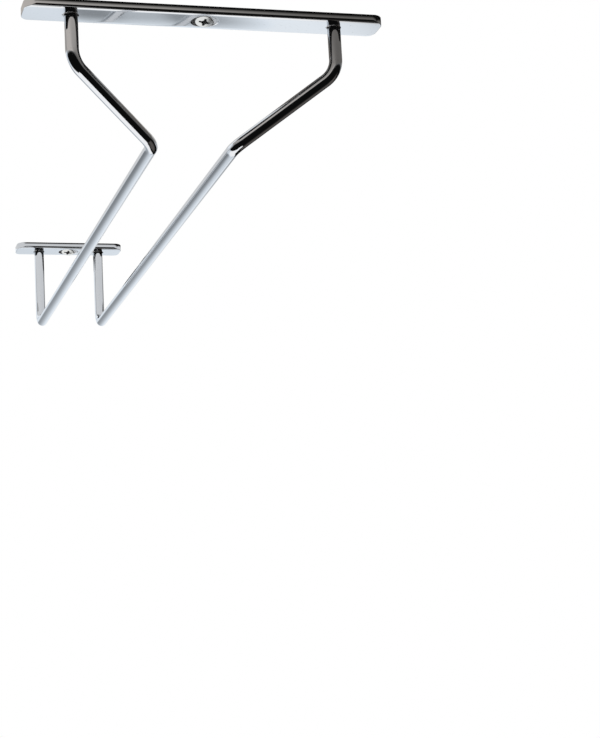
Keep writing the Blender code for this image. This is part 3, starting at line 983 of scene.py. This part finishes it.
def build_underside():
    """The white underside of the cupboard that the screws go up into, along the line of the screws."""
    corners = [(UNDERSIDE_X[i], UNDERSIDE_Y[j]) for i, j in ((0, 0), (0, 1), (1, 1), (1, 0))]
    points = [Vector((x, y, UNDERSIDE_BOARD_Z)) for x, y in corners]
    board = mesh_piece("cupboard_underside", points, [(0, 1, 2, 3)])
    board.data.materials.append(glowing("cupboard_white", WHITE))
    keep_from_lighting(board)
    board.visible_glossy = False


# What mirrors see, from a unit direction. Each soft step is (from, to), or (from, to, value before
# it, value after it). A step by an azimuth is given in cosines of the level angle from it

SKY_AZIMUTH = -25
SKY_BROAD = (-0.7, 0.35, 0.13, 0.33)
SKY_BRIGHT = (0.5, 0.93, 0.0, 0.67)
ROOM_GREY = grey(0.004)
WARM_GLOW = (0.095, 0.086, 0.08, 1)
GLOW_AZIMUTH = 72
GLOW_SIDES = (0.743, 0.829)
GLOW_TOP = (-0.3, -0.65)
GLOW_FOOT = (-0.94, -0.84, 0.3, 1.0)
WINDOW_AZIMUTH = -20
WINDOW_LEFT = (0.707, 0.799)
WINDOW_REACH = (0.66, 0.86, 0.13, 0.34)  # X of the window's right edge, as Y grows
WINDOW_FAR_REACH = (0.86, 0.93, 0.13, 0.42)
WINDOW_RIGHT = (0.03, -0.03)
NADIR = (-30, -86)  # azimuth and elevation of the white floor right below
NADIR_EDGE = (0.975, 0.987)
HORIZON_AHEAD = (0.5, 0.9)
HORIZON_LIFT = -0.1  # added to Z straight ahead, which lifts the horizon there
HORIZON_EDGE = (-0.06, 0.06)

AHEAD = (0.0, 0.3)  # Y where what lies in front starts
LEAST_AHEAD = 0.05
SHADE_SLOPE = (-1.044, 0.28)  # how the shade deepens with X / Y, and its depth at X = 0
SHADE_LEFT = (-0.75, -0.36, 0.2, 1.0)
SHADE_FOOT = (-0.62, -0.25)
SHADE_TOP = (0.16, 0.07, 0.38, 1.0)
STRIP_TOP = (-0.47, -0.41)  # Z where the clear strip below the shade ends
HAZE_TOP = (0.16, 0.07, 0.0, 0.1)
PATCH_LEFT = (0.160, 0.168)  # a darker patch by its X / Y and Z, with a paler stripe in it
PATCH_RIGHT = (0.30, 0.235)
PATCH_TOP = (-0.295, -0.315)
PATCH_DEPTH = (-0.315, -0.375, 0.3, 0.72)
STRIPE_LEFT = (0.185, 0.20)
STRIPE_RIGHT = (0.228, 0.215)
STRIPE_PALER = -0.3
TINT_DEPTH = (0.0, 0.15)
SHADE_TINT = (0.93, 1.0, 1.07, 1)
PLAIN_LIGHT = grey(0.6)  # what dull surfaces get from all round


def studio(tree, direction):
    """What mirrors see: a white window in front, a pale sky that dims to the right, a dark room."""
    x, y, z = split(tree, direction)
    flat = tree.nodes.new("ShaderNodeCombineXYZ")
    linked(tree, flat, (x, y, 0.0))
    level = vector_maths(tree, "NORMALIZE", flat.outputs[0])

    def towards(azimuth):
        """The cosine of the level angle from an azimuth."""
        return vector_maths(tree, "DOT_PRODUCT", level, direction_of(azimuth, 0))

    lit = towards(SKY_AZIMUTH)
    sky = maths(tree, "ADD", eased(tree, lit, *SKY_BROAD), eased(tree, lit, *SKY_BRIGHT))
    glow = product(
        tree, eased(tree, towards(GLOW_AZIMUTH), *GLOW_SIDES), eased(tree, z, *GLOW_TOP),
        eased(tree, z, *GLOW_FOOT),
    )
    room = mixed(tree, glow, ROOM_GREY, WARM_GLOW)
    left_edge = eased(tree, towards(WINDOW_AZIMUTH), *WINDOW_LEFT)
    reach = maths(
        tree, "MAXIMUM", eased(tree, y, *WINDOW_REACH), eased(tree, y, *WINDOW_FAR_REACH)
    )
    right_edge = eased(tree, maths(tree, "SUBTRACT", x, reach), *WINDOW_RIGHT)
    below = mixed(tree, maths(tree, "MULTIPLY", left_edge, right_edge), room, WHITE)
    nadir = vector_maths(tree, "DOT_PRODUCT", direction, direction_of(*NADIR))
    below = mixed(tree, eased(tree, nadir, *NADIR_EDGE), below, WHITE)
    horizon = maths(tree, "MULTIPLY_ADD", eased(tree, y, *HORIZON_AHEAD), HORIZON_LIFT, z)
    seen = mixed(tree, eased(tree, horizon, *HORIZON_EDGE), below, sky)
    return shaded_window(tree, x, y, z, seen)


def shaded_window(tree, x, y, z, colour):
    """A soft bluish shade that deepens towards the left of the window, low round the horizon."""
    across = maths(tree, "DIVIDE", x, maths(tree, "MAXIMUM", y, LEAST_AHEAD))
    ahead = eased(tree, y, *AHEAD)
    depth = product(
        tree, maths(tree, "MULTIPLY_ADD", across, *SHADE_SLOPE, clamp=True),
        eased(tree, across, *SHADE_LEFT), eased(tree, z, *SHADE_FOOT), eased(tree, z, *SHADE_TOP), ahead,
    )
    above_strip = maths(tree, "MULTIPLY", eased(tree, z, *STRIP_TOP), ahead)
    haze = maths(tree, "MULTIPLY", above_strip, eased(tree, z, *HAZE_TOP))
    depth = maths(tree, "ADD", depth, haze)
    stripe = product(tree, eased(tree, across, *STRIPE_LEFT), eased(tree, across, *STRIPE_RIGHT))
    patch = product(
        tree, eased(tree, across, *PATCH_LEFT), eased(tree, across, *PATCH_RIGHT),
        maths(tree, "MULTIPLY_ADD", stripe, STRIPE_PALER, 1.0),
        eased(tree, z, *PATCH_TOP), eased(tree, z, *PATCH_DEPTH), above_strip,
    )
    depth = maths(tree, "MAXIMUM", depth, patch)
    tint = mixed(tree, eased(tree, depth, *TINT_DEPTH), WHITE, SHADE_TINT)
    tinted = vector_maths(tree, "MULTIPLY", colour, tint)
    return vector_maths(tree, "SCALE", tinted, None, None, maths(tree, "SUBTRACT", 1.0, depth))


def build_world():
    """White to the camera, the studio to mirrors, and a plain grey that lights the rest."""
    world = bpy.data.worlds.new("studio")
    world.use_nodes = True
    bpy.context.scene.world = world
    tree = world.node_tree
    tree.nodes.clear()
    output = tree.nodes.new("ShaderNodeOutputWorld")
    path = tree.nodes.new("ShaderNodeLightPath")
    direction = tree.nodes.new("ShaderNodeTexCoord").outputs["Generated"]
    colour = mixed(tree, path.outputs["Is Glossy Ray"], PLAIN_LIGHT, studio(tree, direction))
    shown = maths(tree, "MAXIMUM", path.outputs["Is Camera Ray"], path.outputs["Is Transmission Ray"])
    colour = mixed(tree, shown, colour, WHITE)
    background = tree.nodes.new("ShaderNodeBackground")
    tree.links.new(colour, background.inputs["Color"])
    tree.links.new(background.outputs[0], output.inputs["Surface"])


# Floor, lamps and camera

def build_floor():
    """A pale floor that fades into the white surroundings, and can't hide the rack from below."""
    corners = [(a * FLOOR_REACH, b * FLOOR_REACH) for a, b in ((-1, -1), (1, -1), (1, 1), (-1, 1))]
    floor = mesh_piece("floor", [Vector((x, y, FLOOR_Z)) for x, y in corners], [(0, 1, 2, 3)])
    material = bpy.data.materials.new("floor_paint")
    material.use_nodes = True
    tree = material.node_tree
    shader = tree.nodes["Principled BSDF"]
    coordinates = object_place(tree)
    cloud = noise_value(tree, coordinates, scale=9.0, detail=4.0)
    tone = mixed(tree, cloud, grey(0.86), grey(0.9))
    tree.links.new(tone, shader.inputs["Base Color"])
    shader.inputs["Roughness"].default_value = 0.9
    shader.inputs["Specular IOR Level"].default_value = 0.1
    glow = tree.nodes.new("ShaderNodeEmission")
    glow.inputs["Color"].default_value = WHITE
    far = eased(tree, vector_maths(tree, "LENGTH", coordinates), *FLOOR_FADE)
    blend = tree.nodes.new("ShaderNodeMixShader")
    linked(tree, blend, (far, shader.outputs[0], glow.outputs[0]))
    surface = tree.nodes["Material Output"].inputs["Surface"]
    tree.links.new(one_sided(tree, blend.outputs[0]), surface)
    floor.data.materials.append(material)
    floor.visible_glossy = False


def build_lamps():
    for name, place, width, power in LAMPS:
        lamp = bpy.data.lights.new(name, "AREA")
        lamp.shape = "DISK"
        lamp.size = width
        lamp.energy = power
        made = bpy.data.objects.new(name, lamp)
        bpy.context.scene.collection.objects.link(made)
        made.location = place
        aim = LAMP_AIM - Vector(place)
        made.rotation_euler = aim.to_track_quat("-Z", "Y").to_euler()
        made.visible_glossy = False


def build_camera():
    camera = bpy.data.cameras.new("camera")
    camera.sensor_width = SENSOR_MM
    camera.lens = FOCAL_PIXELS / IMAGE_HEIGHT * SENSOR_MM
    camera.clip_start = CLIP_START
    made = bpy.data.objects.new("camera", camera)
    bpy.context.scene.collection.objects.link(made)
    view = CAMERA_VIEW.normalized()
    right = (CAMERA_RIGHT - view * CAMERA_RIGHT.dot(view)).normalized()
    down = view.cross(right)
    turn = Matrix((right, -down, -view)).transposed()
    made.matrix_world = Matrix.Translation(CAMERA_PLACE) @ turn.to_4x4()
    bpy.context.scene.camera = made


# The rack

BEADS = (  # name, X, Y, seed, and each nub's angle and width in radians
    ("front_left", -LEG_X, FRONT_Y, 1.7, ((pi, 0.3), (0.15, 0.25))),
    ("front_right", LEG_X, FRONT_Y, 5.3, ((pi * 1.02, 0.26),)),
    ("rear_left", -RAIL_X, REAR_Y, 9.1, ((2.6, 0.35), (0.4, 0.3))),
    ("rear_right", RAIL_X, REAR_Y, 13.9, ((0.0, 0.3), (3.6, 0.25))),
)


def build_rack():
    for side, word in ((-1, "left"), (1, "right")):
        wire = rail_wire(f"{word}_wire", side)
        dress(wire, wire_finish(f"{word}_wire_chrome"), f"{word}_rail_wire")
    for word, low, high, y in (
        ("front", FRONT_LOW, FRONT_HIGH, FRONT_Y), ("rear", REAR_LOW, REAR_HIGH, REAR_Y),
    ):
        bar = flat_bar(f"{word}_flat_bar", high.x - low.x, y)
        dress(bar, bar_finish(f"{word}_bar_chrome", y), f"{word}_bar")
        screw = wood_screw(f"{word}_wood_screw", y)
        dress(screw, screw_finish(f"{word}_screw_plate"), f"{word}_screw")
    for word, x, y, seed, nubs in BEADS:
        bead = weld_bead(f"{word}_weld_bead", x, y, seed, nubs)
        dress(bead, weld_finish(f"{word}_weld_plate"), f"weld_{word}")


bpy.context.scene.view_settings.view_transform = "Standard"
build_camera()
build_world()
build_floor()
build_lamps()
build_cards()
build_underside()
build_rack()
